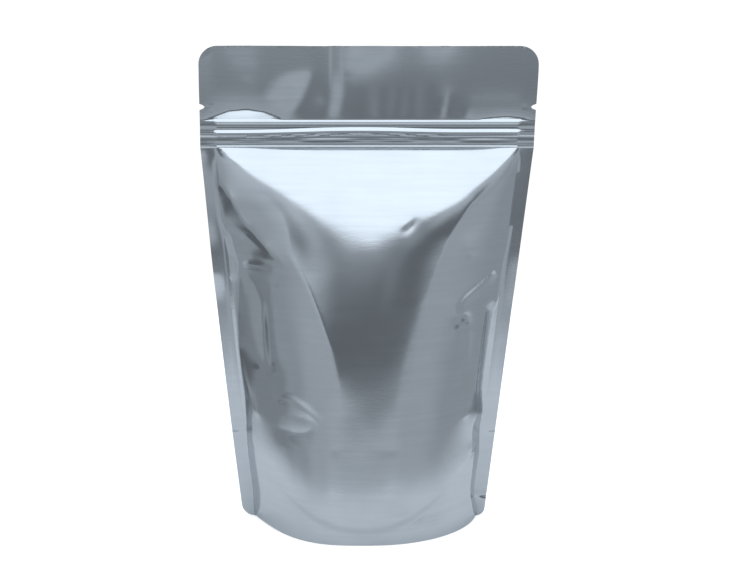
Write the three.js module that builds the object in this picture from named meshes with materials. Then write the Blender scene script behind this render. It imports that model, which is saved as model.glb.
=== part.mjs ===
// A stand-up pouch of foil laminate, press-to-close, standing open at the foot and shut at the top.
// Millimetres, +Z up, the front faces -Y. The origin is the middle of the foot, on the table.
// The pouch is welded from one film, so it is one closed solid: a front and a back panel, a seal
// down each side, a flat header with its tear notches, the raised band over the hidden fastener,
// and a skirt that stands on the table round the gusset.
import * as THREE from "three";

// Driving dimensions
const pouchWidth = 150;
const pouchHeight = 217.6;
const footWidth = 111.4; // the side seals draw together as the foot opens
const footDepth = 83.4;
const footShift = -2.3; // the foot stands a little to the left of the header
const leanTop = 207; // and above this height it no longer shows
const sideBow = 0.5; // the side edges bow out this much between the foot and the band
const sealWidth = 6;
const footOpening = { left: 0.8, right: 2.3, top: 15 }; // the seals open this much at the table
const sealThickness = 0.8;
const topCorner = 8;
const footCorner = { left: 5.5, right: 3.5 };

// The band over the fastener, heights above the table
const bandBottom = 172.5;
const bandTop = 184.3;
const bandWidth = 148.4; // of the pouch, at the band
const bandRelief = 0.4;
const bandStep = 0.6;
const ridgeHeight = 179;
const ridgeReach = 2.6;
const ridgeRelief = 1;

// Tear notches
const notchHeight = 190.6;
const notchMouth = 2.8;
const notchDepth = 2.3;

// Foot
const gussetFold = 40.7; // height of the gusset's fold at the side seals
const footSeal = 5; // height of the seal at the middle of the foot
const footSealCurve = 0.75;
const skirtThickness = 1.3;
const skirtStep = 0.8; // how far the belly stands out above the foot seal
const gussetSag = { middle: 2, side: 9 };

// Belly: its depth grows as the square root of the drop below the band. The cross-section is
// a lens. Towards the foot it gets flat on the left and full on the right, and just below the
// band the film still runs straight across, with a shoulder at each end.
const bellyEase = 0.004;
const lens = { flat: 2, full: 1 };
const footLeft = { flat: 3, full: 1.05 };
const footRight = { flat: 2.3, full: 0.64 };
const shoulder = { left: 8, right: 5, drop: 30 };

// Dents where the slack film folds in beside a side seal. Each has its point towards the
// middle of the panel and its mouth at the seal, and reaches above and below that line.
const frontDents = [
  { mouth: [-66, 128], point: [-38, 123], above: 30, below: 20, depth: 5 },
  { mouth: [-62, 87], point: [-46, 84], above: 26, below: 14, depth: 2.5 },
  { mouth: [62, 110], point: [39, 101], above: 11, below: 22, depth: 4 },
  { mouth: [58, 78], point: [47, 80], above: 18, below: 24, depth: 2.5 },
];
const backDents = [
  { mouth: [-64, 112], point: [-39, 104], above: 20, below: 24, depth: 4 },
  { mouth: [65, 130], point: [40, 124], above: 24, below: 22, depth: 4.5 },
  { mouth: [60, 70], point: [46, 66], above: 20, below: 20, depth: 2.5 },
];

// The header's two films lie on each other and wave together.
const headerWaves = [
  { size: 0.9, length: 107, phase: 0 },
  { size: 0.5, length: 47, phase: 1 },
];

// Mesh
const bodyRows = 30;
const steepRows = 7; // just below the band
const steepDrop = 16;
const headerRows = 6;
const cornerRows = 5;
const bodyColumns = 30;
const gussetStrips = 6;

const clamp = (x, low, high) => Math.min(high, Math.max(low, x));
const mix = (a, b, t) => a + (b - a) * t;
const smoothstep = (from, to, x) => {
  const t = clamp((x - from) / (to - from), 0, 1);
  return t * t * (3 - 2 * t);
};
const bump = (x, middle, reach) => 1 - smoothstep(0, reach, Math.abs(x - middle));
const spread = (from, to, count) => Array.from({ length: count }, (_, i) => mix(from, to, i / count));

function middleLine(z) {
  const up = clamp(z / leanTop, 0, 1);
  return footShift * (1 - up * up);
}

// Half of the width from edge to edge at a height, without corners and notches
function straightHalfWidth(z) {
  if (z < bandBottom) {
    const share = z / bandBottom;
    return mix(footWidth, bandWidth, share) / 2 + sideBow * Math.sin(Math.PI * share);
  }
  return mix(bandWidth, pouchWidth, smoothstep(bandBottom, pouchHeight - topCorner, z)) / 2;
}

// What a round corner takes off the width at a distance from its end of the pouch
function cornerCut(distance, radius) {
  const into = clamp(radius - distance, 0, radius);
  return radius - Math.sqrt(radius * radius - into * into);
}

// From the middle line to the outer edge. side is -1 on the left and 1 on the right.
function halfWidth(z, side) {
  const foot = side < 0 ? footCorner.left : footCorner.right;
  const corners = cornerCut(pouchHeight - z, topCorner) + cornerCut(z, foot);
  const notch = notchDepth * clamp(1 - Math.abs(z - notchHeight) / (notchMouth / 2), 0, 1);
  return straightHalfWidth(z) - corners - notch;
}

// From the middle line to the inner edge of a side seal
function halfChord(z, side) {
  const opened = side < 0 ? footOpening.left : footOpening.right;
  const seal = sealWidth - opened * (1 - smoothstep(0, footOpening.top, z));
  return Math.min(straightHalfWidth(z) - seal, halfWidth(z, side) - sealThickness);
}

// How far the middle of a panel stands out at a height
function bellyDepth(z) {
  const rise = (drop) => Math.sqrt(drop + bellyEase) - Math.sqrt(bellyEase);
  return ((footDepth - sealThickness) / 2) * (rise(clamp(1 - z / bandBottom, 0, 1)) / rise(1));
}

// The cross-section's share of that depth, from 1 in the middle to 0 at a side seal
function section(across, z) {
  const low = clamp(1 - z / bandBottom, 0, 1);
  const foot = across < 0 ? footLeft : footRight;
  const near = Math.exp(-Math.pow((bandBottom - z) / shoulder.drop, 2));
  const flat = mix(lens.flat, foot.flat, low) + near * (across < 0 ? shoulder.left : shoulder.right);
  const full = mix(lens.full, foot.full, low);
  return Math.pow(Math.max(0, 1 - Math.pow(Math.abs(across), flat)), full);
}

// Height of the foot's seal: low in the middle, and up to the gusset's fold at the sides
function footSealHeight(across) {
  return mix(gussetFold, footSeal, Math.pow(Math.max(0, 1 - across * across), footSealCurve));
}

function dentDepth(dent, x, z) {
  const reach = (x - dent.mouth[0]) / (dent.point[0] - dent.mouth[0]);
  const narrowing = 1 - 0.75 * clamp(reach, 0, 1);
  const off = z - mix(dent.mouth[1], dent.point[1], clamp(reach, 0, 1));
  const share = 1 - Math.abs(off) / (narrowing * (off > 0 ? dent.above : dent.below));
  return dent.depth * Math.max(0, share) * clamp(4 * (1 - reach), 0, 1);
}

function headerWave(x, z) {
  const wave = headerWaves.reduce((sum, { size, length, phase }) => {
    const turn = (at) => Math.sin((2 * Math.PI * at) / length + phase);
    return sum + size * (turn(x) - turn(0));
  }, 0);
  return wave * smoothstep(bandTop, pouchHeight, z);
}

// The relief of the band over the fastener, the same on both faces
function bandProfile(z) {
  const into = Math.min(z - bandBottom, bandTop - z);
  return bandRelief * smoothstep(0, bandStep, into) + ridgeRelief * bump(z, ridgeHeight, ridgeReach);
}

// How far a face stands out from the pouch's middle plane
function standOut(across, z, dents) {
  const x = middleLine(z) + across * halfChord(z, Math.sign(across));
  const share = section(across, z);
  const full = bellyDepth(z) * share;
  const dented = dents.reduce((sum, dent) => sum + dentDepth(dent, x, z), 0);
  const stepped = skirtStep * share * (1 - smoothstep(0, 3, z - footSealHeight(across)));
  const sealed = bandProfile(z) * mix(1, 0.4, smoothstep(0.97, 1, Math.abs(across)));
  return Math.max(full - dented, 0.45 * full) - stepped + sealThickness / 2 + sealed;
}

// Row heights from the table to the top edge, crowded at the corners and exact at each step
const quarterTurns = spread(0, Math.PI / 2, cornerRows);
const cornerRise = quarterTurns.map((turn) => 1 - Math.cos(turn));
const rows = [
  ...cornerRise.map((rise) => rise * footCorner.left),
  ...spread(footCorner.left, bandBottom - steepDrop, bodyRows),
  ...spread(bandBottom - steepDrop, bandBottom, steepRows),
  bandBottom,
  bandBottom + bandStep,
  ridgeHeight - ridgeReach,
  ridgeHeight,
  ridgeHeight + ridgeReach,
  bandTop - bandStep,
  bandTop,
  notchHeight - notchMouth / 2,
  notchHeight,
  notchHeight + notchMouth / 2,
  ...spread(notchHeight + notchMouth, pouchHeight - topCorner, headerRows),
  ...cornerRise.map((rise) => pouchHeight - rise * topCorner).reverse(),
];

// Columns from seal to seal, crowded towards the seals
const columns = Array.from({ length: bodyColumns + 1 }, (_, i) => {
  const even = mix(-1, 1, i / bodyColumns);
  return mix(even, Math.sin((Math.PI / 2) * even), 0.7);
});

const points = [];
const corners = [];
const addPoint = (x, y, z) => points.push(x, y, z) / 3 - 1;
const addQuad = (a, b, c, d) => corners.push(a, b, c, a, c, d);

// One face of the pouch: rows of points from the left edge to the right edge
function face(facing, dents) {
  return rows.map((z) => {
    const at = (x, depth) => addPoint(x, facing * depth + headerWave(x, z), z);
    const edge = (side) => {
      return at(middleLine(z) + side * halfWidth(z, side), sealThickness / 2 + 0.4 * bandProfile(z));
    };
    const body = columns.map((across) => {
      const x = middleLine(z) + across * halfChord(z, Math.sign(across));
      return at(x, standOut(across, z, dents));
    });
    return [edge(-1), ...body, edge(1)];
  });
}

const front = face(-1, frontDents);
const back = face(1, backDents);
const top = rows.length - 1;
const right = columns.length + 1;
for (let r = 0; r < top; r++) {
  for (let c = 0; c < right; c++) {
    addQuad(front[r][c], front[r][c + 1], front[r + 1][c + 1], front[r + 1][c]);
    addQuad(back[r][c + 1], back[r][c], back[r + 1][c], back[r + 1][c + 1]);
  }
  addQuad(back[r][0], front[r][0], front[r + 1][0], back[r + 1][0]);
  addQuad(front[r][right], back[r][right], back[r + 1][right], front[r + 1][right]);
}
for (let c = 0; c < right; c++) {
  addQuad(front[top][c], front[top][c + 1], back[top][c + 1], back[top][c]);
}

// The hollow under the foot: up the skirt's inside at the front, over the gusset, and down the
// skirt's inside at the back. Both ends of it close to a point.
function hollowRib(across) {
  const closed = 1 - Math.abs(across) < 1e-6;
  const height = footSealHeight(across);
  const sag = mix(gussetSag.middle, gussetSag.side, across * across) * (closed ? 0 : 1);
  const wall = (facing, z) => {
    const depth = standOut(across, z, facing < 0 ? frontDents : backDents) - sealThickness / 2;
    return closed ? 0 : facing * (depth - skirtThickness * Math.sqrt(1 - across * across));
  };
  const place = (y, z, level) => {
    const chord = halfChord(level, Math.sign(across)) - skirtThickness;
    return addPoint(middleLine(level) + across * chord, y, z);
  };
  const gusset = Array.from({ length: gussetStrips + 1 }, (_, i) => {
    const over = mix(-1, 1, i / gussetStrips);
    const y = Math.abs(over) * wall(over < 0 ? -1 : 1, height);
    return place(y, height - sag * (1 - over * over), height);
  });
  return [place(wall(-1, 0), 0, 0), ...gusset, place(wall(1, 0), 0, 0)];
}

const hollow = columns.map(hollowRib);
for (let c = 0; c < bodyColumns; c++) {
  for (let i = 0; i < gussetStrips + 2; i++) {
    addQuad(hollow[c][i], hollow[c][i + 1], hollow[c + 1][i + 1], hollow[c + 1][i]);
  }
}

// The rim that stands on the table, between the faces and the hollow
const rimFront = (c) => hollow[clamp(c - 1, 0, bodyColumns)][0];
const rimBack = (c) => hollow[clamp(c - 1, 0, bodyColumns)][gussetStrips + 2];
for (let c = 0; c < right; c++) {
  addQuad(front[0][c + 1], front[0][c], rimFront(c), rimFront(c + 1));
  addQuad(back[0][c], back[0][c + 1], rimBack(c + 1), rimBack(c));
}
corners.push(front[0][0], back[0][0], rimFront(0));
corners.push(back[0][right], front[0][right], rimFront(right));

// Where the hollow closes to a point some triangles have no area, and they are left out.
function solidTriangles() {
  const place = (i) => points.slice(3 * i, 3 * i + 3).map((v) => v.toFixed(4)).join(" ");
  const kept = [];
  for (let i = 0; i < corners.length; i += 3) {
    const triangle = corners.slice(i, i + 3);
    if (new Set(triangle.map(place)).size === 3) {
      kept.push(...triangle);
    }
  }
  return kept;
}

const shell = new THREE.BufferGeometry();
shell.setAttribute("position", new THREE.Float32BufferAttribute(points, 3));
shell.setIndex(solidTriangles());
shell.computeVertexNormals();

const foil = new THREE.MeshStandardMaterial({ color: 0x9aa3ad, roughness: 0.28, metalness: 1 });
const pouch = new THREE.Mesh(shell, foil);
pouch.name = "pouch";

const group = new THREE.Group();
group.add(pouch);
export default group;
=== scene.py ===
import math

import bmesh
import bpy
import numpy as np
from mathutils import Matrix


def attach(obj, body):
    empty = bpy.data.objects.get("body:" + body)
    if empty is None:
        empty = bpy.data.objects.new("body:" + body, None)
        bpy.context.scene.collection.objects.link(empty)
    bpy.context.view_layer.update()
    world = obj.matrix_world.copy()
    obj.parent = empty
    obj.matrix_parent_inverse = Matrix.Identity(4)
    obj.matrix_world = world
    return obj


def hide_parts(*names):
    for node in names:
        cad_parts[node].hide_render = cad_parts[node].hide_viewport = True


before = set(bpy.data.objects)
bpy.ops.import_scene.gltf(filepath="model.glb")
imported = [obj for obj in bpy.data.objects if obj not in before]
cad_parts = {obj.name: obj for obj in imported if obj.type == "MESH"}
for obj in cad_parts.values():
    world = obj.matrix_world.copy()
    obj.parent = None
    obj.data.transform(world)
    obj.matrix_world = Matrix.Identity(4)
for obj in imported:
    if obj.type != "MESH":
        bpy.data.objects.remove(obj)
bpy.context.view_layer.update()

mm = 0.001  # sizes are in millimetres unless a note says otherwise, and z is the height above the table
print("frame loaded")

pouch = {
    "width": 149.96,
    "height": 217.6,
    "footWidth": 111.4,
    "footDepth": 82.2,
    "footShift": -2.3,  # the foot stands a little to the left of the header
    "leanTop": 207.0,  # where that lean has gone
    "sideBow": 0.5,
    "sealWidth": 6.0,
    "film": 0.5,  # both layers together, a little thicker than real so that the edge shows
    "topCorner": 8.0,
    "footOpening": (0.8, 2.3, 15.0),  # how far the left and right seals are open at the foot, and up to where
    "footCornerLeft": 5.5,
    "footCornerRight": 3.5,
    "bandBottom": 172.5,
    "bandTop": 184.3,
    "bandWidth": 148.4,
    "notchHeight": 190.6,
    "notchMouth": 2.8,
    "notchDepth": 2.3,
    "gussetFold": 40.7,
    "gussetFoldEdge": 0.5,
    "gussetStep": 0.25,  # how much thicker the side seals are below the fold
    "gussetStepEdge": 0.4,  # the share of the seal's width over which that grows
    "gussetSag": (2.0, 9.0),  # how far the gusset hangs, in the middle and beside the seals
    "gussetCrease": 1.2,
    "footSeal": 5.0,
    "footSealCurve": 0.75,
    "skirtStep": 0.7,  # how far the film steps in from the foot's seal to the skirt
    "skirtStepHeight": 2.5,
    "skirtFilm": 0.5,
    "skirtGap": 0.02,
    "skirtPull": 0.3,  # keeps the first and last rib of the gusset inside the side seals
}


def mix(a, b, t):
    return a + (b - a) * t


def ease(a, b, x):
    t = np.clip((x - a) / (b - a), 0, 1)
    return t * t * (3 - 2 * t)


def bump(x, middle, reach):
    return 1 - ease(0, reach, np.abs(x - middle))


def middleLine(z):
    up = np.clip(z / pouch["leanTop"], 0, 1)
    return pouch["footShift"] * (1 - up * up)


def straightHalf(z):
    # half the width, with square corners and no notches
    t = z / pouch["bandBottom"]
    bow = pouch["sideBow"] * np.sin(np.pi * np.clip(t, 0, 1))
    low = mix(pouch["footWidth"], pouch["bandWidth"], t) / 2 + bow
    up = ease(pouch["bandBottom"], pouch["height"] - pouch["topCorner"], z)
    high = mix(pouch["bandWidth"], pouch["width"], up) / 2
    return np.where(z < pouch["bandBottom"], low, high)


def cornerCut(distance, radius):
    into = np.clip(radius - distance, 0, radius)
    return radius - np.sqrt(radius * radius - into * into)


def halfWidth(z, side):
    foot = pouch["footCornerLeft"] if side < 0 else pouch["footCornerRight"]
    cut = cornerCut(pouch["height"] - z, pouch["topCorner"]) + cornerCut(z, foot)
    notch = np.clip(1 - np.abs(z - pouch["notchHeight"]) / (pouch["notchMouth"] / 2), 0, 1)
    return straightHalf(z) - cut - pouch["notchDepth"] * np.sqrt(notch)


def halfChord(z, side):
    # half the width of the panel between the seals
    left, right, top = pouch["footOpening"]
    seal = pouch["sealWidth"] - (left if side < 0 else right) * (1 - ease(0, top, z))
    return np.minimum(straightHalf(z) - seal, halfWidth(z, side) - pouch["film"])


belly = {
    "rounding": 0.004,  # how softly the belly starts under the band
    "underBand": (2.0, 1.0),  # the two powers that shape the section, just under the band
    "footLeft": (3.0, 1.05),  # and at the foot
    "footRight": (2.3, 0.64),
    "footFade": 1.8,
    "shoulderLeft": 1.5,  # how straight the film still runs across just below the band
    "shoulderRight": 5.0,
    "shoulderDrop": 30.0,
    "foldFade": 6.0,  # the folds fade out over this height, up to the band
    "least": 0.15,  # a fold leaves the film at least this far out
    "leastSoft": 0.04,
    "leastFrom": 0.4,
    "wave": 0.012,  # slow waves that keep the reflections from running true
    "waveFrom": 6.0,  # they fade out where the panel is less deep than this
}


def bellyDepth(z):
    soft = belly["rounding"]
    rise = np.sqrt(np.clip(1 - z / pouch["bandBottom"], 0, 1) + soft) - math.sqrt(soft)
    return (pouch["footDepth"] - pouch["film"]) / 2 * rise / (np.sqrt(1 + soft) - math.sqrt(soft))


def section(across, z):
    # the share of the belly's depth, from one seal (-1) across to the other (1)
    left = across < 0
    low = np.clip(1 - z / pouch["bandBottom"], 0, 1) ** belly["footFade"]
    near = np.exp(-(((pouch["bandBottom"] - z) / belly["shoulderDrop"]) ** 2))
    flat = mix(belly["underBand"][0], np.where(left, belly["footLeft"][0], belly["footRight"][0]), low)
    flat = flat + near * np.where(left, belly["shoulderLeft"], belly["shoulderRight"])
    full = mix(belly["underBand"][1], np.where(left, belly["footLeft"][1], belly["footRight"][1]), low)
    return np.clip(1 - np.abs(across) ** flat, 0, 1) ** full


def plainDepth(x, z):
    # how far out the panel stands before it is folded
    chord = np.where(x < middleLine(z), halfChord(z, -1), halfChord(z, 1))
    return bellyDepth(z) * section((x - middleLine(z)) / chord, z)


def footSealHeight(across):
    curve = np.clip(1 - across * across, 0, 1) ** pouch["footSealCurve"]
    return mix(pouch["gussetFold"], pouch["footSeal"], curve)


fastener = {
    "tape": 0.3,  # how far the whole band stands out
    "tapeEdges": (0.1, 0.5, 0.2, 0.6),
    "ridge": 0.75,
    "ridgeStart": (177.4, 177.9),  # between which heights the ridge rises
    "ridgeEnd": (179.1, 180.8),  # and falls
    "bow": 0.9,  # how much higher the ridge runs in the middle
    "bowAt": 4.0,
    "bowSpread": 30.0,
    "sway": 0.2,  # a slow wave of the ridge
    "swayLength": 13.0,
    "lips": ((0.45, 0.22), (0.4, 0.15)),  # the lower and upper edge ridge: how far in, how high
    "lipReach": 0.6,
    "hollows": ((175.6, 0.09, 1.2), (182.2, 0.1, 1.3)),  # height, depth and reach
    "dip": 0.9,  # how unevenly the lower hollow is pressed
    "dipWaves": ((7.5, 0.8), (19.0, -0.4)),
    "dipFollow": 0.3,  # how much of the ridge's bow the lower hollow follows
    "crushed": 0.35,  # what is left of the relief in the side seals
    "crushedFrom": 0.97,
}


def bandProfile(x, z):
    low, high = pouch["bandBottom"], pouch["bandTop"]
    below, above, under, over = fastener["tapeEdges"]
    tape = fastener["tape"] * ease(low - below, low + above, z) * (1 - ease(high - under, high + over, z))
    rise = fastener["bow"] * np.exp(-(((x - fastener["bowAt"]) / fastener["bowSpread"]) ** 2))
    rise = rise - fastener["sway"] * np.sin(x / fastener["swayLength"])
    ridge = fastener["ridge"] * ease(*fastener["ridgeStart"], z - rise)
    ridge = ridge * (1 - ease(*fastener["ridgeEnd"], z - rise))
    (lowIn, lowLip), (highIn, highLip) = fastener["lips"]
    lip = lowLip * bump(z, low + lowIn, fastener["lipReach"])
    lip = lip + highLip * bump(z, high - highIn, fastener["lipReach"])
    short, slow = (np.sin(x / length + start) for length, start in fastener["dipWaves"])
    dip = 1 + fastener["dip"] * short * slow
    (lowAt, lowDeep, lowReach), (highAt, highDeep, highReach) = fastener["hollows"]
    lowAt = lowAt + fastener["dipFollow"] * rise
    hollow = -lowDeep * dip * bump(z, lowAt, lowReach) - highDeep * bump(z, highAt, highReach)
    return tape + ridge + lip + hollow


# The folds in the slack film are lines of (x, height, how far). "pressed" lines push the film in from
# where it would stand, "standing" lines hold it that far out from the seals. Between the lines the film
# is stretched like a skin.
frontFolds = {
    "reach": 9.0,  # how far a fold draws the film beside it
    "soften": 0.4,  # how round its edge is
    "grids": ((2.0, 160), (1.0, 120), (0.5, 100)),  # cells and rounds of relaxing, coarse to fine
    "standing": [
        # left: the crease beside the seal
        [(-66.8, 153.4, 0.4), (-64.5, 138.2, 0.8), (-61.1, 131.2, 1.4), (-58.3, 119.7, 1.6),
         (-58.4, 98.9, 1.3), (-58.5, 89.0, 0.8), (-58.3, 80.0, 0.8), (-57.0, 67.7, 0.9),
         (-55.9, 56.5, 0.8), (-55.7, 43.6, 0.5)],
        [(-64.6, 133.0, 0.35), (-62.6, 124.0, 0.35), (-62.0, 114.0, 0.35)],
        # left: the two facets of the big pinch
        [(-67.4, 158.0, 0.7), (-63.4, 153.2, 3.2), (-61.0, 150.0, 4.8), (-57.3, 144.2, 6.2),
         (-53.3, 137.6, 7.1), (-49.4, 133.0, 9.2), (-46.0, 129.4, 11.3), (-42.0, 126.5, 13.2),
         (-38.4, 123.6, 14.9)],
        [(-64.3, 138.2, 0.9), (-54.6, 133.1, 4.6), (-48.7, 129.2, 8.6), (-44.4, 126.4, 11.6),
         (-38.9, 123.3, 14.6)],
        [(-57.9, 124.0, 2.2), (-52.0, 124.2, 5.7), (-46.0, 124.0, 9.9), (-42.0, 123.4, 12.6),
         (-38.6, 123.0, 14.6)],
        [(-55.0, 120.0, 2.6), (-50.0, 120.0, 6.4), (-45.0, 120.0, 10.6), (-41.5, 120.0, 13.6)],
        # left: the dark valley that runs down from it, and the leaf between valley and seal
        [(-57.3, 118.0, 2.2), (-54.2, 114.5, 3.9), (-51.2, 111.0, 6.2), (-48.0, 104.0, 8.7),
         (-47.5, 95.0, 8.9), (-47.3, 88.0, 9.4), (-46.6, 81.0, 10.6), (-46.0, 77.0, 11.7),
         (-45.4, 73.0, 12.9)],
        [(-57.1, 115.5, 2.3), (-57.0, 108.0, 2.8), (-56.9, 98.9, 2.8), (-56.8, 91.0, 2.6),
         (-56.4, 86.0, 2.8)],
        # right: the crease beside the seal, and the dark slot it ends in
        [(66.3, 157.8, 0.4), (62.6, 137.4, 1.0), (58.5, 117.7, 1.6), (57.0, 103.0, 1.4),
         (54.2, 98.0, 1.2), (53.6, 93.0, 1.2), (52.6, 84.0, 1.2), (51.8, 75.0, 1.2), (51.0, 67.0, 1.2),
         (50.6, 60.0, 1.2), (51.8, 50.0, 1.0), (50.6, 43.0, 1.1), (49.6, 39.0, 2.6), (48.2, 34.0, 5.5),
         (47.2, 30.0, 8.4)],
        [(52.6, 99.0, 3.2), (52.0, 93.0, 4.8), (51.0, 84.0, 5.0), (50.2, 75.0, 5.0), (49.4, 67.0, 5.0),
         (49.0, 60.0, 4.8), (50.4, 50.0, 3.6), (49.2, 43.0, 3.8), (48.2, 39.0, 5.4), (47.0, 34.0, 8.4)],
        [(44.7, 91.0, 9.6), (44.6, 87.0, 9.6), (44.4, 80.0, 9.5), (44.0, 72.0, 9.9), (43.6, 64.0, 10.8),
         (43.8, 58.0, 12.0), (44.2, 52.0, 13.0)],
    ],
    "pressed": [
        # left: the valley below the pinch, and the wing beside it
        [(-40.9, 117.5, 0.3), (-41.5, 115.2, 0.5), (-43.0, 109.5, 0.5), (-44.4, 104.9, 0.6),
         (-44.4, 97.0, 0.6), (-43.7, 88.0, 0.6), (-42.8, 79.0, 0.8), (-41.9, 73.0, 1.3)],
        [(-38.9, 114.5, 0.1), (-40.0, 111.0, 0.1), (-41.6, 104.9, 0.2), (-41.6, 97.0, 0.2),
         (-40.9, 88.0, 0.3), (-39.6, 79.0, 0.5)],
        # the ridges where the panel's front turns into its two wings
        [(-38.7, 143.3, -0.3), (-36.1, 137.3, -0.5), (-35.2, 126.9, -0.8), (-30.8, 120.2, -1.0),
         (-27.2, 114.3, -1.1), (-21.9, 102.4, -1.1), (-16.6, 88.7, -1.0), (-13.1, 73.2, -0.6),
         (-12.2, 58.0, -0.1)],
        [(45.3, 150.3, -0.4), (40.0, 140.9, -0.9), (36.4, 134.9, -1.1), (32.9, 126.1, -1.2),
         (29.4, 117.5, -1.0), (24.6, 103.8, -0.5), (20.5, 86.4, -0.2), (18.8, 70.0, -0.1)],
        # left: what the light patch low on the wing lies between
        [(-50.4, 73.0, 2.4), (-50.2, 66.0, 2.2), (-50.2, 59.0, 1.4), (-50.6, 52.0, 0.6)],
        [(-45.4, 72.0, 2.2), (-44.6, 67.0, 2.2), (-43.6, 60.0, 1.6), (-43.0, 54.0, 0.9)],
        [(-40.2, 71.0, 1.1), (-39.7, 68.0, 0.7)],
        [(-39.0, 65.5, 0.3), (-33.0, 65.5, 0.1), (-26.0, 61.5, 0.0), (-20.5, 56.0, 0.0)],
        [(-39.5, 62.3, -0.1), (-34.0, 62.5, -0.4), (-27.0, 59.0, -0.45), (-21.5, 54.5, -0.1)],
        [(-39.5, 55.5, 0.3), (-33.0, 55.0, 0.3), (-25.0, 54.0, 0.1)],
        [(-39.5, 48.0, 0.9), (-33.0, 47.2, 1.0), (-28.0, 48.0, 0.8), (-23.0, 52.0, 0.1)],
        [(-38.0, 41.5, 0.2), (-28.0, 41.5, 0.15)],
        # right: the tucked corner and its crease
        [(57.0, 118.0, 0.2), (48.6, 112.0, 0.0), (42.2, 107.6, 0.0), (39.2, 103.4, 0.0),
         (39.9, 99.8, 0.0)],
        [(56.0, 115.8, 1.9), (48.5, 109.9, 1.7), (43.2, 105.8, 1.7), (41.2, 102.8, 1.8)],
        [(42.2, 100.9, 1.8), (46.0, 100.4, 1.8), (51.0, 99.6, 1.8)],
        [(41.8, 98.4, 2.5), (44.2, 97.4, 2.8), (44.8, 94.5, 2.6)],
        [(39.5, 93.0, 0.3), (39.5, 82.0, 0.8), (39.0, 70.0, 1.1), (38.5, 60.0, 0.9)],
        # right: the small marks
        [(37.5, 63.0, 0.8), (34.9, 59.7, 0.65), (30.6, 54.7, 0.1)],
        [(43.5, 129.4, 0.05), (56.0, 129.4, 0.3)],
        [(44.0, 127.4, -0.12), (55.5, 127.0, 0.0)],
        [(45.1, 125.8, 0.25), (54.4, 124.4, 0.35)],
        [(20.6, 142.4, 0.0), (18.4, 140.2, 0.1), (16.0, 137.6, 0.02)],
        [(19.2, 143.0, -0.02), (17.1, 140.8, -0.1), (14.8, 138.4, -0.02)],
        # low, where the gusset stops holding the panel
        [(-20.0, 42.9, 0.05), (-15.5, 42.3, 0.16), (-11.0, 42.1, 0.05)],
        [(2.0, 42.8, 0.06), (13.0, 42.2, 0.16), (23.0, 42.5, 0.06)],
        [(-36.0, 17.6, 0.05), (-31.0, 15.4, 0.2), (-27.5, 13.6, 0.05)],
        [(-23.4, 8.4, 0.05), (-19.0, 7.7, 0.25), (-15.3, 7.2, 0.05)],
        [(15.0, 12.6, 0.05), (21.0, 12.6, 0.15), (27.0, 13.6, 0.05)],
    ],
}

backFolds = {
    "reach": 9.0,
    "soften": 0.45,
    "grids": ((2.0, 160), (1.0, 120), (0.5, 100)),
    "standing": [
        [(-65.5, 146.0, 0.5), (-62.0, 132.0, 1.0), (-59.5, 112.0, 1.2), (-57.5, 90.0, 0.8),
         (-55.0, 62.0, 1.0), (-54.0, 54.0, 2.6), (-53.2, 48.0, 5.0)],
        [(66.0, 152.0, 0.5), (62.0, 130.0, 1.2), (59.0, 112.0, 1.2), (57.0, 92.0, 0.9), (53.6, 70.0, 0.9),
         (52.0, 60.0, 2.0), (50.8, 52.0, 5.0)],
    ],
    "pressed": [
        [(-66.0, 150.0, 0.0), (-52.0, 128.0, 0.0), (-40.0, 112.0, 0.0)],
        [(-63.0, 138.0, 1.5), (-55.0, 122.0, 3.0), (-41.5, 111.5, 0.6)],
        [(-58.0, 112.0, 1.6), (-50.0, 109.6, 0.8), (-40.5, 110.5, 0.2)],
        [(-57.0, 108.6, 3.2), (-48.0, 107.0, 2.0), (-41.0, 109.2, 0.6)],
        [(-49.0, 96.0, 2.0), (-47.0, 82.0, 1.8), (-44.0, 66.0, 0.2)],
        [(66.0, 156.0, 0.0), (54.0, 136.0, 0.0), (41.0, 125.0, 0.0)],
        [(61.5, 138.0, 1.0), (53.0, 130.0, 2.2), (42.0, 124.4, 0.5)],
        [(57.0, 122.0, 1.2), (50.0, 119.5, 1.6), (41.0, 122.6, 0.5)],
        [(46.0, 108.0, 1.4), (45.0, 92.0, 1.5), (42.0, 74.0, 0.4), (37.0, 62.0, 0.0)],
        [(51.0, 84.0, 1.6), (48.5, 68.0, 1.4), (47.5, 55.0, 0.8)],
        [(-30.0, 42.5, 0.2), (-14.0, 42.0, 0.25)],
        [(4.0, 42.6, 0.25), (22.0, 42.0, 0.2)],
    ],
}

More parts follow.
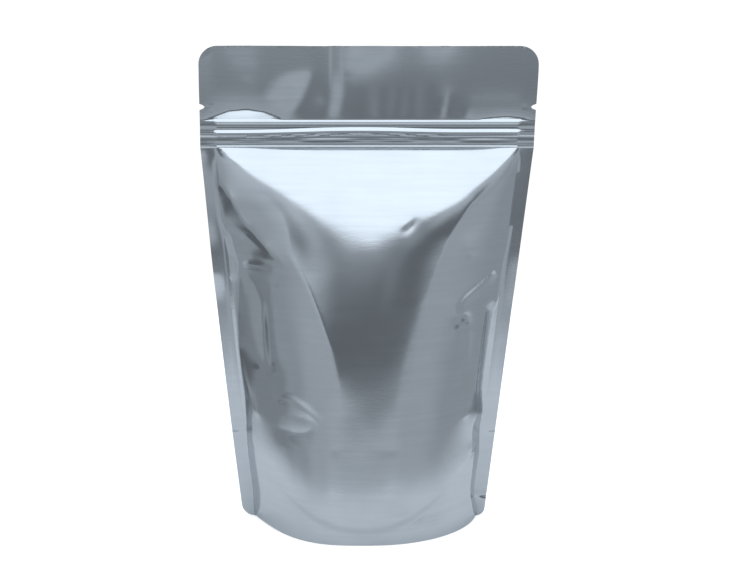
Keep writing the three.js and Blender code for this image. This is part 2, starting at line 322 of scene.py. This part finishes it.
# The header's film leans, and along the "tilted" lines it stands steeper or flatter: (x, height, slope).
headerTilts = {
    "lean": -0.03,
    "reach": 5.0,
    "soften": 0.12,
    "grids": ((2.0, 160), (1.0, 120), (0.5, 100), (0.25, 100)),
    "tilted": [
        # the light patch, and the darker film around it
        [(-43.5, 194.0, 0.05), (-40.0, 199.0, 0.055), (-34.0, 203.5, 0.06), (-26.5, 205.5, 0.05)],
        [(-41.5, 190.0, 0.05), (-37.0, 195.0, 0.06), (-31.0, 201.0, 0.06), (-26.5, 204.0, 0.05)],
        [(-38.0, 187.5, 0.05), (-34.5, 190.0, 0.06), (-31.0, 196.0, 0.06), (-28.0, 202.0, 0.05)],
        [(-48.0, 197.0, 0.01), (-44.5, 202.5, 0.01), (-38.0, 207.0, 0.01), (-27.0, 209.0, 0.01)],
        [(-24.0, 206.0, 0.0), (-26.0, 199.0, 0.0), (-28.5, 193.0, 0.0), (-31.5, 188.0, 0.0)],
        # the light stripe beside it
        [(-14.2, 205.0, 0.035), (-14.5, 196.0, 0.055), (-16.2, 187.0, 0.055)],
        [(-12.4, 205.0, 0.03), (-12.7, 196.0, 0.05), (-14.6, 187.0, 0.05)],
        [(-18.5, 206.0, 0.005), (-18.0, 196.0, 0.0), (-19.5, 187.0, 0.0)],
        [(-9.5, 206.0, 0.01), (-10.0, 196.0, 0.0), (-11.5, 187.0, 0.0)],
        [(-22.5, 194.3, 0.02), (-19.8, 192.4, 0.02)],
        # the top left corner
        [(-62.0, 215.0, 0.02), (-51.0, 215.0, 0.02)],
        [(-59.0, 210.0, 0.022), (-50.5, 210.0, 0.022)],
        [(-54.0, 204.0, 0.02), (-51.0, 201.5, 0.015)],
        [(-72.5, 213.0, 0.018), (-72.5, 193.0, 0.018)],
        [(-45.0, 213.0, 0.008), (-28.0, 213.0, 0.008)],
        # the two light spots at the top edge
        [(-5.0, 217.3, 0.06), (1.5, 217.0, 0.065), (8.0, 217.3, 0.06)],
        [(-6.5, 213.5, 0.055), (1.5, 212.5, 0.06), (8.5, 214.0, 0.055)],
        [(-9.0, 208.5, 0.045), (-3.0, 207.0, 0.045), (3.0, 208.5, 0.035)],
        [(-12.0, 204.0, 0.02), (-6.0, 202.5, 0.02)],
        [(26.5, 217.3, 0.055), (31.0, 217.0, 0.06), (35.5, 217.3, 0.055)],
        [(27.0, 212.5, 0.03), (34.0, 212.5, 0.03)],
        # the paler right end
        [(46.0, 195.0, 0.018), (66.0, 195.5, 0.018)],
        [(46.0, 191.0, 0.018), (66.0, 191.5, 0.018)],
        # creases that fan out from the band
        [(32.9, 186.5, 0.06), (34.2, 192.0, 0.045), (35.4, 200.0, 0.015)],
        [(31.2, 187.0, -0.005), (32.8, 195.0, 0.0)],
        [(34.8, 187.0, -0.005), (36.6, 196.0, 0.0)],
        [(44.2, 186.6, 0.06), (45.0, 190.0, 0.02)],
        [(42.6, 187.0, 0.0), (43.2, 191.0, 0.0)],
        [(2.8, 187.0, 0.022), (2.4, 200.0, 0.008)],
        [(9.5, 187.0, 0.012), (11.0, 198.0, 0.008)],
        [(15.3, 187.0, 0.015), (16.5, 198.0, 0.005)],
        [(22.0, 187.0, 0.014), (22.5, 200.0, 0.008)],
        [(6.0, 187.0, -0.003), (6.5, 199.0, -0.003)],
        [(12.6, 187.0, -0.003), (13.5, 199.0, -0.003)],
        [(19.0, 187.0, -0.003), (19.5, 199.0, -0.003)],
        [(27.0, 187.0, -0.003), (28.0, 200.0, -0.003)],
        [(-3.0, 187.0, -0.003), (-3.0, 199.0, -0.003)],
        # where the film is bent back just above the band
        [(-70.5, 185.2, 0.25), (-67.5, 186.6, 0.27), (-62.0, 188.6, 0.28), (-54.0, 189.3, 0.28),
         (-46.5, 188.2, 0.28), (-40.0, 185.8, 0.26)],
        [(-67.0, 185.8, 0.28), (-43.0, 185.8, 0.28)],
        [(-61.5, 187.4, 0.28), (-48.0, 187.2, 0.28)],
        [(-72.0, 185.6, 0.045), (-68.2, 187.1, 0.05), (-62.0, 189.1, 0.05), (-54.0, 189.8, 0.05),
         (-46.0, 188.7, 0.05), (-38.5, 186.1, 0.045)],
        [(-70.0, 191.0, 0.035), (-60.0, 193.5, 0.035), (-46.0, 192.5, 0.035)],
        [(50.0, 185.2, 0.25), (56.0, 185.9, 0.28), (62.0, 186.2, 0.28), (68.0, 185.6, 0.25)],
        [(48.5, 185.6, 0.045), (55.5, 186.4, 0.05), (62.0, 186.7, 0.05), (69.5, 186.1, 0.045)],
    ],
}

skin = {
    "halfWidth": 78.0,  # of the grids that the film is stretched on, a little past the pouch
    "beadGap": 0.4,  # between the points that stand for a line, in cells
    "grip": (40.0, 60.0, 0.05),  # how firmly a line holds the film, the most and the least
    "softenCells": 6,  # how far the last softening reads, in cells
    "panelHeights": (0, 174),
    "headerHeights": (182, 219),
}


def between(field, row, column):
    # reads a grid between its points
    a, b = row.astype(int), column.astype(int)
    up, along = row - a, column - b
    return (field[a, b] * (1 - up) * (1 - along) + field[a + 1, b] * up * (1 - along)
            + field[a, b + 1] * (1 - up) * along + field[a + 1, b + 1] * up * along)


def gridReader(xs, zs, cell, field):
    def read(x, z):
        row = np.clip((z - zs[0]) / cell, 0, len(zs) - 1.001)
        column = np.clip((x - xs[0]) / cell, 0, len(xs) - 1.001)
        return between(field, row, column)

    return read


def alongLine(line, gap):
    # the same line as points that lie close together
    line = np.array(line)
    gone = np.concatenate([[0], np.cumsum(np.hypot(*np.diff(line[:, :2], axis=0).T))])
    at = np.arange(0, gone[-1] + 1e-9, gap)
    return [np.interp(at, gone, line[:, k]) for k in range(3)]


def foldPoints(folds, gap):
    for kind in ("pressed", "standing", "tilted"):
        for line in folds.get(kind, ()):
            x, z, value = alongLine(line, gap)
            yield x, z, plainDepth(x, z) - value if kind == "standing" else value


def holdLines(folds, xs, zs, cell):
    # what the fold lines ask of each grid point, and how firmly
    weight = np.zeros((len(zs), len(xs)))
    total = np.zeros_like(weight)
    for x, z, press in foldPoints(folds, cell * skin["beadGap"]):
        row, column = (z - zs[0]) / cell, (x - xs[0]) / cell
        keep = (row > 0) & (row < len(zs) - 1) & (column > 0) & (column < len(xs) - 1)
        row, column, press = row[keep], column[keep], press[keep]
        a, b = row.astype(int), column.astype(int)
        for up in (0, 1):
            for along in (0, 1):
                share = np.abs(1 - up - (row - a)) * np.abs(1 - along - (column - b))
                np.add.at(weight, (a + up, b + along), share)
                np.add.at(total, (a + up, b + along), share * press)
    firm, most, least = skin["grip"]
    grip = np.minimum(firm * weight, most)
    grip[weight < least] = 0
    return total / np.maximum(weight, 1e-6), grip


def stretchSkin(folds, lowest, highest):
    field = None
    for cell, rounds in folds["grids"]:
        xs = np.arange(-skin["halfWidth"], skin["halfWidth"] + cell / 2, cell)
        zs = np.arange(lowest, highest + cell, cell)
        held, grip = holdLines(folds, xs, zs, cell)
        if field is None:
            field = np.zeros_like(held)
        else:  # starts from the coarser grid
            row = np.clip(np.arange(len(zs)) / 2, 0, field.shape[0] - 1.001)
            column = np.clip(np.arange(len(xs)) / 2, 0, field.shape[1] - 1.001)
            field = between(field, row[:, None], column[None, :])
        for _ in range(rounds):
            p = np.pad(field, 1, mode="edge")
            near = p[:-2, 1:-1] + p[2:, 1:-1] + p[1:-1, :-2] + p[1:-1, 2:]
            field = (near + grip * held) / (4 + (cell / folds["reach"]) ** 2 + grip)
    far = skin["softenCells"]
    taps = np.exp(-0.5 * (np.arange(-far, far + 1) * cell / folds["soften"]) ** 2)
    taps /= taps.sum()
    for axis in (0, 1):
        field = sum(tap * np.roll(field, k - far, axis) for k, tap in enumerate(taps))
    return gridReader(xs, zs, cell, field)


def leanHeader():
    # adds the slopes up, from the band to the top edge
    slope = stretchSkin(headerTilts, *skin["headerHeights"])
    cell = headerTilts["grids"][-1][0]
    xs = np.arange(-skin["halfWidth"], skin["halfWidth"] + cell / 2, cell)
    zs = np.arange(pouch["bandTop"], pouch["height"] + 2 * cell, cell)
    back = np.cumsum(headerTilts["lean"] + slope(xs[None, :], zs[:, None]), axis=0) * cell
    return gridReader(xs, zs, cell, back - back[:1])


pressFront = stretchSkin(frontFolds, *skin["panelHeights"])
pressBack = stretchSkin(backFolds, *skin["panelHeights"])
headerBack = leanHeader()
print("folds stretched")

sealBend = {  # how far back the outer edge of each side seal stands, as (height, back)
    "left": [(0.0, 0.0), (40.0, 0.5), (80.0, 1.2), (104.0, 1.3), (112.0, 0.3), (128.0, 0.2), (140.0, 1.2),
             (158.0, 1.6), (167.0, 0.8), (173.0, 0.0)],
    "right": [(0.0, 0.0), (40.0, 0.5), (80.0, 1.2), (100.0, 1.2), (122.0, 0.6), (150.0, 0.4), (167.0, 0.2),
              (173.0, 0.0)],
    "rounding": (-3, -1.5, 0, 1.5, 3),  # the bends are averaged over these heights
    "nick": (10.3, 2.0, 0.8),  # low in the right seal: height, reach and depth
    "headerFrom": 0.6,  # the header is free to lean from this far above the band
}


def bendBack(side, z):
    at, back = np.array(sealBend[side]).T
    return sum(np.interp(z + shift, at, back) for shift in sealBend["rounding"]) / len(sealBend["rounding"])


def sheetWave(x, z):
    # what moves both layers of film together, in the header and in the side seals
    z = z + 0 * x
    left = x < middleLine(z)
    into = np.abs(x - middleLine(z)) - (straightHalf(z) - pouch["sealWidth"])
    into = np.clip(into / pouch["sealWidth"], 0, 1)
    height, reach, depth = sealBend["nick"]
    bend = np.where(left, bendBack("left", z), bendBack("right", z) + depth * bump(z, height, reach))
    free = ease(pouch["bandTop"], pouch["bandTop"] + sealBend["headerFrom"], z)
    return free * headerBack(x, z) + bend * into


def filmWave(x, z):
    # two waves across and up the film, whose lengths never fall in step
    short = np.sin(x / 2.9 + 1.1 * np.sin(z / 7.3)) * np.sin(z / 3.7 + 0.8 * np.sin(x / 6.1))
    long = np.sin(x / 5.3 - z / 11.0 + 0.5) * np.sin(z / 6.1 + x / 17.0)
    return 0.5 * short + 0.8 * long


def standOut(across, x, z, facing):
    # how far a face of the pouch stands out from the plane of its seals
    share = section(across, z)
    full = bellyDepth(z) * share
    press = pressFront if facing < 0 else pressBack
    pressed = press(x, z) * (1 - ease(pouch["bandBottom"] - belly["foldFade"], pouch["bandBottom"], z))
    free = full - pressed + belly["wave"] * filmWave(x, z) * ease(0, belly["waveFrom"], full)
    least = np.minimum(belly["least"], full)
    over = (free - least + np.sqrt((free - least) ** 2 + belly["leastSoft"])) / 2
    depth = least + over * ease(0, belly["leastFrom"], full)
    skirt = 1 - ease(0, pouch["skirtStepHeight"], z - footSealHeight(across))
    step = pouch["skirtStep"] * share * skirt
    crushed = mix(1, fastener["crushed"], ease(fastener["crushedFrom"], 1, np.abs(across)))
    return depth - step + bandProfile(x, z) * crushed + pouch["film"] / 2


filmMesh = {
    "footTop": 5.5,
    "footRows": 12,
    "bodyRows": 170,
    "bandRows": 46,
    "collarRows": 12,  # between the band and the notches
    "headerRows": 26,
    "cornerRows": 10,
    "bandMargin": 1.0,
    "notchRows": (-1, -0.6, -0.2, 0, 0.2, 0.6, 1),
    "notchGap": 0.6,
    "columns": 158,
    "crowding": 0.55,  # how much closer the columns lie beside the seals, 0 to 1
    "sealColumns": 3,
    "skirtRows": 3,
    "gussetRows": 14,
    "weld": 1e-6,  # in metres, like the next one
    "sliver": 1e-7,
    "sharpFrom": 50,  # degrees between two faces
}


def rowHeights():
    low = pouch["bandBottom"] - filmMesh["bandMargin"]
    high = pouch["bandTop"] + filmMesh["bandMargin"]
    top = pouch["height"]
    notch = pouch["notchHeight"] + pouch["notchMouth"] / 2 * np.array(filmMesh["notchRows"])
    turn = np.linspace(math.pi / 2, 0, filmMesh["cornerRows"])
    corner = top - pouch["topCorner"] * (1 - np.cos(turn))
    return np.concatenate([
        np.linspace(0, filmMesh["footTop"], filmMesh["footRows"], endpoint=False),
        np.linspace(filmMesh["footTop"], low, filmMesh["bodyRows"], endpoint=False),
        np.linspace(low, high, filmMesh["bandRows"], endpoint=False),
        np.linspace(high, notch[0], filmMesh["collarRows"], endpoint=False),
        notch,
        np.linspace(notch[-1] + filmMesh["notchGap"], corner[0], filmMesh["headerRows"], endpoint=False),
        corner,
    ])


def columnShares():
    even = np.linspace(-1, 1, filmMesh["columns"] + 1)
    return mix(even, np.sin(math.pi / 2 * even), filmMesh["crowding"])


def sealStrip(z, side):
    # one side seal, from the panel's edge outwards: x and how far the face stands out
    t = np.linspace(0, 1, filmMesh["sealColumns"] + 1)[1:][None, :]
    outer = middleLine(z) + side * halfWidth(z, side)
    inner = middleLine(z) + side * halfChord(z, side)
    x = mix(inner, outer, t)
    fold, edge = pouch["gussetFold"], pouch["gussetFoldEdge"]
    doubled = pouch["gussetStep"] * (1 - ease(fold - edge, fold + edge, z))
    relief = fastener["crushed"] * bandProfile(x, z)
    return x, pouch["film"] / 2 + relief + doubled * ease(0, pouch["gussetStepEdge"], t)


def facePoints(facing):
    z = rowHeights()[:, None]
    across = columnShares()[None, :]
    chord = np.where(across < 0, halfChord(z, -1), halfChord(z, 1))
    x = middleLine(z) + across * chord
    depth = standOut(across, x, z, facing)
    (leftX, leftDepth), (rightX, rightDepth) = sealStrip(z, -1), sealStrip(z, 1)
    x = np.concatenate([leftX[:, ::-1], x, rightX], axis=1)
    depth = np.concatenate([leftDepth[:, ::-1], depth, rightDepth], axis=1)
    return np.stack([x, facing * depth + sheetWave(x, z), z + 0 * x], axis=-1)


def gussetPoints(front, back):
    # ribs under the foot: up inside the front skirt, over the gusset, down inside the back skirt
    rows = rowHeights()
    shares = columnShares()
    tops = footSealHeight(shares)
    ribs = []
    for column, (share, top) in enumerate(zip(shares, tops), filmMesh["sealColumns"]):
        closed = column in (filmMesh["sealColumns"], filmMesh["sealColumns"] + len(shares) - 1)  # at a seal

        def wall(face, facing, z):
            stand = facing * np.interp(z, rows, face[:, column, 1])
            return 0.0 if closed else facing * max(pouch["skirtGap"], stand - pouch["skirtFilm"])

        climb = np.linspace(0, top, filmMesh["skirtRows"] + 1)[:-1]
        rib = [(z, wall(front, -1, z), z) for z in climb]
        sag = 0 if closed else mix(*pouch["gussetSag"], share * share)
        crease = 0 if closed else pouch["gussetCrease"]
        for t in np.linspace(-1, 1, filmMesh["gussetRows"] + 1):
            y = abs(t) * (wall(front, -1, top) if t < 0 else wall(back, 1, top))
            rib.append((top, y, top - sag * (1 - t * t) + crease * (1 - abs(t)) ** 3))
        rib += [(z, wall(back, 1, z), z) for z in climb[::-1]]
        ribs.append([(np.interp(level, rows, front[:, column, 0]), y, z) for level, y, z in rib])
    points = np.array(ribs)
    points[0, :, 0] += pouch["skirtPull"]
    points[-1, :, 0] -= pouch["skirtPull"]
    return points


def quadSheet(grid):
    return np.stack([grid[:-1, :-1], grid[:-1, 1:], grid[1:, 1:], grid[1:, :-1]], -1).reshape(-1, 4)


def buildPouch():
    front, back = facePoints(-1), facePoints(1)
    ribs = gussetPoints(front, back)
    rows, columns = front.shape[:2]
    points = np.concatenate([front.reshape(-1, 3), back.reshape(-1, 3), ribs.reshape(-1, 3)])
    f = np.arange(rows * columns).reshape(rows, columns)
    b = f + rows * columns
    g = np.arange(ribs.shape[0] * ribs.shape[1]).reshape(ribs.shape[:2]) + 2 * rows * columns
    rim = np.clip(np.arange(columns) - filmMesh["sealColumns"], 0, len(ribs) - 1)
    quads = np.concatenate([
        quadSheet(f),
        quadSheet(b)[:, ::-1],
        quadSheet(np.stack([b[:, 0], f[:, 0]], 1)),  # left edge
        quadSheet(np.stack([f[:, -1], b[:, -1]], 1)),  # right edge
        quadSheet(np.stack([f[-1], b[-1]], 0)),  # top edge
        quadSheet(g),  # inside of the skirts, and the gusset
        quadSheet(np.stack([g[rim, 0], f[0]], 0)),  # rim of the front skirt
        quadSheet(np.stack([b[0], g[rim, -1]], 0)),  # rim of the back skirt
    ]).tolist()
    ends = [[f[0, 0], g[0, 0], b[0, 0]], [f[0, -1], b[0, -1], g[-1, 0]]]  # under the two side seals
    data = bpy.data.meshes.new("pouchFilm")
    data.from_pydata((points * mm).tolist(), [], quads + [[int(i) for i in end] for end in ends])
    obj = bpy.data.objects.new("pouchFilm", data)
    bpy.context.scene.collection.objects.link(obj)
    bm = bmesh.new()
    bm.from_mesh(data)
    bmesh.ops.remove_doubles(bm, verts=bm.verts, dist=filmMesh["weld"])
    bmesh.ops.dissolve_degenerate(bm, edges=bm.edges, dist=filmMesh["sliver"])
    bmesh.ops.recalc_face_normals(bm, faces=bm.faces)
    openEdges = sum(len(edge.link_faces) != 2 for edge in bm.edges)
    print(f"pouch film: {len(bm.faces)} faces, {openEdges} open edges, {bm.calc_volume() * 1e3:.3f} litres")
    bm.to_mesh(data)
    bm.free()
    data.polygons.foreach_set("use_smooth", [True] * len(data.polygons))
    data.set_sharp_from_angle(angle=math.radians(filmMesh["sharpFrom"]))
    return obj


def feed(tree, socket, value):
    # a number is set on the socket, another node's output is linked to it
    if isinstance(value, (int, float)):
        socket.default_value = value
    else:
        tree.links.new(value, socket)


def calc(tree, operation, *values):
    node = tree.nodes.new("ShaderNodeMath")
    node.operation = operation
    for socket, value in zip(node.inputs, values):
        feed(tree, socket, value)
    return node.outputs[0]


def ramp(tree, value, start, end, low=0.0, high=1.0, curve="SMOOTHSTEP"):
    node = tree.nodes.new("ShaderNodeMapRange")
    node.interpolation_type = curve
    tree.links.new(value, node.inputs["Value"])
    for name, number in (("From Min", start), ("From Max", end), ("To Min", low), ("To Max", high)):
        feed(tree, node.inputs[name], number)
    return node.outputs["Result"]


def mixShaders(tree, share, first, second):
    node = tree.nodes.new("ShaderNodeMixShader")
    for socket, value in zip(node.inputs, (share, first, second)):
        tree.links.new(value, socket)
    return node.outputs[0]


film = {
    "color": (0.655, 0.675, 0.70),
    "dull": (0.60, 0.62, 0.645),
    "roughness": (0.085, 0.15),
    "streaks": (30.0, 30.0, 520.0),  # rolling marks run across the pouch
    "streakShare": 0.5,
    "cloud": 55.0,
    "worn": (0.3, 0.7),  # the noise that counts as bright and as dull film
    "grain": 1500.0,
    "grainStretch": (0.35, 1, 1),
    "grainDepth": 0.000004,  # in metres
}


def filmMaterial():
    mat = bpy.data.materials.new("metallisedFilm")
    mat.use_nodes = True
    tree = mat.node_tree
    nodes, links = tree.nodes, tree.links
    shader = nodes["Principled BSDF"]
    shader.inputs["Metallic"].default_value = 1
    coord = nodes.new("ShaderNodeTexCoord")

    def noise(scale, detail, stretch=(1, 1, 1)):
        mapping = nodes.new("ShaderNodeMapping")
        mapping.inputs["Scale"].default_value = stretch
        links.new(coord.outputs["Object"], mapping.inputs["Vector"])
        node = nodes.new("ShaderNodeTexNoise")
        node.inputs["Scale"].default_value = scale
        node.inputs["Detail"].default_value = detail
        links.new(mapping.outputs[0], node.inputs["Vector"])
        return node.outputs["Fac"]

    cloud = ramp(tree, noise(film["cloud"], 2.0), 0.0, 1.0, 0.0, 0.5, "LINEAR")
    worn = calc(tree, "MULTIPLY_ADD", noise(1.0, 3.0, film["streaks"]), film["streakShare"], cloud)
    links.new(ramp(tree, worn, *film["worn"], *film["roughness"], "LINEAR"), shader.inputs["Roughness"])
    tone = nodes.new("ShaderNodeMix")
    tone.data_type = "RGBA"
    links.new(ramp(tree, worn, *film["worn"], 0.0, 1.0, "LINEAR"), tone.inputs["Factor"])
    tone.inputs[6].default_value = (*film["color"], 1)
    tone.inputs[7].default_value = (*film["dull"], 1)
    links.new(tone.outputs[2], shader.inputs["Base Color"])
    grain = nodes.new("ShaderNodeBump")
    grain.inputs["Strength"].default_value = 1.0
    grain.inputs["Distance"].default_value = film["grainDepth"]
    links.new(noise(film["grain"], 1.0, film["grainStretch"]), grain.inputs["Height"])
    links.new(grain.outputs[0], shader.inputs["Normal"])
    return mat


# The room that the film mirrors. Tones are brightnesses. Pairs are where a tone starts and where it is
# reached, in degrees: above the horizon, or to the right of straight ahead of the front panel.
room = {
    "light": (0.90, 1.0, 1.093),
    "ground": 1.05,  # the plain white that the camera sees behind the pouch
    "top": 1.42,  # a big soft light overhead
    "topFrom": (16.6, 18.8),
    "topEnds": (62.0, 85.0),
    "topLoss": 0.35,
    "wall": 0.40,  # walls beside the camera, dimmer to the sides
    "side": 0.17,
    "sideFrom": (46.0, 86.0),
    "wallGain": 0.18,
    "wallGainFrom": (-4.0, 14.0),
    "glow": 0.07,
    "glowAt": 38.0,  # to the left
    "glowEdge": (7.0, 15.0),
    "dark": 0.165,  # the dark room behind the camera, a zone that narrows downwards
    "darkAt": 7.0,
    "darkDrift": 0.75,
    "darkHalf": 18.0,
    "darkWiden": 2.6,
    "darkWidest": 8.0,
    "darkNarrow": 14.0,
    "darkNarrowFrom": (8.0, 15.0),
    "darkBlur": 3.0,
    "darkBlurGain": 0.6,
    "darkBottom": (-2.5, 3.8),
    "darkLeft": (-30.0, -23.0),
    "darkGain": 0.13,
    "darkGainFrom": (9.0, 15.0),
    "rightGain": 0.24,
    "rightFrom": (6.0, 13.0),
    "leftGain": 0.38,
    "leftFrom": (-9.0, -22.0),
    "cornerFrom": (7.5, 13.5),
    "lowNear": 0.52,  # below the horizon, past the table's edge
    "lowDeep": 0.20,
    "lowDeepFrom": (-12.0, -5.0),
    "lowWide": 0.46,
    "lowWideFrom": (20.0, 34.0),
    "lowNearFrom": (-15.0, -21.0),
    "lowLeft": 0.38,
    "lowLeftFrom": (-46.0, -58.0),
    "lowFar": 0.30,
    "lowFarFrom": (-68.0, -80.0),
    "lowPit": 0.16,
    "lowPitFrom": (-15.0, -19.0),
    "lowRight": 0.38,
    "lowRightFrom": (50.0, 76.0),
    "horizon": (-1.5, 0.5),
    "behind": 0.19,  # what the back panel mirrors
    "behindFrom": (0.3, 0.5),
}


def makeRoom():
    world = bpy.data.worlds.new("room")
    bpy.context.scene.world = world
    world.use_nodes = True
    tree = world.node_tree
    nodes, links = tree.nodes, tree.links
    nodes.clear()

    def add(a, b):
        return calc(tree, "ADD", a, b)

    def subtract(a, b):
        return calc(tree, "SUBTRACT", a, b)

    def times(a, b):
        return calc(tree, "MULTIPLY", a, b)

    def timesPlus(a, b, c):
        return calc(tree, "MULTIPLY_ADD", a, b, c)

    def size(value):
        return calc(tree, "ABSOLUTE", value)

    def step(value, edges):
        return ramp(tree, value, *edges)

    def blend(share, a, b):
        return timesPlus(share, subtract(b, a), a)

    coord = nodes.new("ShaderNodeTexCoord")
    split = nodes.new("ShaderNodeSeparateXYZ")
    links.new(coord.outputs["Generated"], split.inputs[0])
    x, y, z = split.outputs
    degrees = 180 / math.pi
    azimuth = times(calc(tree, "ARCTAN2", x, size(y)), degrees)
    height = times(calc(tree, "ARCSINE", z), degrees)
    reach = size(azimuth)

    wall = blend(step(reach, room["sideFrom"]), room["wall"], room["side"])
    wall = add(wall, times(step(height, room["wallGainFrom"]), room["wallGain"]))
    glow = subtract(1.0, step(size(add(azimuth, room["glowAt"])), room["glowEdge"]))
    wall = timesPlus(glow, room["glow"], wall)

    lift = calc(tree, "MINIMUM", calc(tree, "MAXIMUM", height, 0.0), room["darkWidest"])
    middle = subtract(room["darkAt"], times(lift, room["darkDrift"]))
    narrow = times(step(height, room["darkNarrowFrom"]), room["darkNarrow"])
    half = subtract(timesPlus(lift, room["darkWiden"], room["darkHalf"]), narrow)
    blur = add(room["darkBlur"], times(narrow, room["darkBlurGain"]))
    outside = subtract(size(subtract(azimuth, middle)), half)
    dark = subtract(1.0, step(outside, (times(blur, -1.0), blur)))
    dark = times(times(dark, step(height, room["darkBottom"])), step(azimuth, room["darkLeft"]))
    tone = timesPlus(step(height, room["darkGainFrom"]), room["darkGain"], room["dark"])
    right = times(step(azimuth, room["rightFrom"]), room["rightGain"])
    left = times(step(azimuth, room["leftFrom"]), room["leftGain"])
    tone = timesPlus(step(height, room["cornerFrom"]), add(right, left), tone)
    upper = blend(dark, wall, tone)

    low = blend(step(height, room["lowDeepFrom"]), room["lowDeep"], room["lowNear"])
    low = blend(step(reach, room["lowWideFrom"]), low, room["lowWide"])
    low = blend(step(height, room["lowNearFrom"]), low, room["lowNear"])
    low = blend(step(azimuth, room["lowLeftFrom"]), low, room["lowLeft"])
    far = blend(step(height, room["lowPitFrom"]), room["lowFar"], room["lowPit"])
    low = blend(step(azimuth, room["lowFarFrom"]), low, far)
    low = blend(step(azimuth, room["lowRightFrom"]), low, room["lowRight"])

    around = blend(step(height, room["horizon"]), low, upper)
    around = blend(step(y, room["behindFrom"]), around, room["behind"])
    topFade = subtract(1.0, times(step(reach, room["topEnds"]), room["topLoss"]))
    full = blend(step(height, room["topFrom"]), around, times(topFade, room["top"]))

    mirrored = nodes.new("ShaderNodeBackground")
    mirrored.inputs["Color"].default_value = (*room["light"], 1)
    links.new(full, mirrored.inputs["Strength"])
    ground = nodes.new("ShaderNodeBackground")
    ground.inputs["Color"].default_value = (1, 1, 1, 1)
    ground.inputs["Strength"].default_value = room["ground"]
    path = nodes.new("ShaderNodeLightPath")
    out = nodes.new("ShaderNodeOutputWorld")
    seen = mixShaders(tree, path.outputs["Is Camera Ray"], mirrored.outputs[0], ground.outputs[0])
    links.new(seen, out.inputs["Surface"])


table = {  # in metres
    "half": 0.55,
    "drop": 0.0002,
    "fadeSide": (0.13, 0.25),
    "fadeFront": (0.40, 0.46),
    "color": 0.60,
    "glow": 0.6,  # makes it as white as the ground behind it
}


def makeTable():
    data = bpy.data.meshes.new("floor")
    bm = bmesh.new()
    bmesh.ops.create_grid(bm, x_segments=1, y_segments=1, size=table["half"])
    bm.to_mesh(data)
    bm.free()
    obj = bpy.data.objects.new("floor", data)
    obj.location = (0, 0, -table["drop"])
    bpy.context.scene.collection.objects.link(obj)
    mat = bpy.data.materials.new("paleFloor")
    mat.use_nodes = True
    tree = mat.node_tree
    nodes, links = tree.nodes, tree.links
    nodes.clear()
    coord = nodes.new("ShaderNodeTexCoord")
    split = nodes.new("ShaderNodeSeparateXYZ")
    links.new(coord.outputs["Object"], split.inputs[0])
    side = ramp(tree, calc(tree, "ABSOLUTE", split.outputs[0]), *table["fadeSide"], 1.0, 0.0)
    front = ramp(tree, calc(tree, "ABSOLUTE", split.outputs[1]), *table["fadeFront"], 1.0, 0.0)
    below = nodes.new("ShaderNodeNewGeometry").outputs["Backfacing"]  # from below, the table is clear
    seen = calc(tree, "SUBTRACT", calc(tree, "MULTIPLY", side, front), below)
    seen.node.use_clamp = True
    diffuse = nodes.new("ShaderNodeBsdfDiffuse")
    diffuse.inputs["Color"].default_value = (table["color"],) * 3 + (1,)
    glow = nodes.new("ShaderNodeEmission")
    path = nodes.new("ShaderNodeLightPath")
    links.new(calc(tree, "MULTIPLY", path.outputs["Is Camera Ray"], table["glow"]), glow.inputs["Strength"])
    both = nodes.new("ShaderNodeAddShader")
    links.new(diffuse.outputs[0], both.inputs[0])
    links.new(glow.outputs[0], both.inputs[1])
    clear = nodes.new("ShaderNodeBsdfTransparent")
    out = nodes.new("ShaderNodeOutputMaterial")
    links.new(mixShaders(tree, seen, clear.outputs[0], both.outputs[0]), out.inputs["Surface"])
    data.materials.append(mat)


camera = {  # distances in metres, lens and sensor in millimetres
    "distance": 0.900,
    "elevation": 13.0,
    "aim": (-0.00158, 0.0, 0.10943),
    "lens": 98.177,
    "sensor": 36,
    "clip": (0.01, 50),
}


def makeCamera():
    data = bpy.data.cameras.new("camera")
    data.lens = camera["lens"]
    data.sensor_width = camera["sensor"]
    data.clip_start, data.clip_end = camera["clip"]
    obj = bpy.data.objects.new("camera", data)
    tilt = math.radians(camera["elevation"])
    x, y, z = camera["aim"]
    back, up = camera["distance"] * math.cos(tilt), camera["distance"] * math.sin(tilt)
    obj.location = (x, y - back, z + up)
    obj.rotation_euler = (math.pi / 2 - tilt, 0, 0)
    bpy.context.scene.collection.objects.link(obj)
    bpy.context.scene.camera = obj


bpy.context.scene.view_settings.view_transform = "Standard"
makeCamera()
makeRoom()
makeTable()
print("studio ready")

pouchFilm = buildPouch()
pouchFilm.data.materials.append(filmMaterial())
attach(pouchFilm, "root")
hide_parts("pouch")
print("pouch ready")
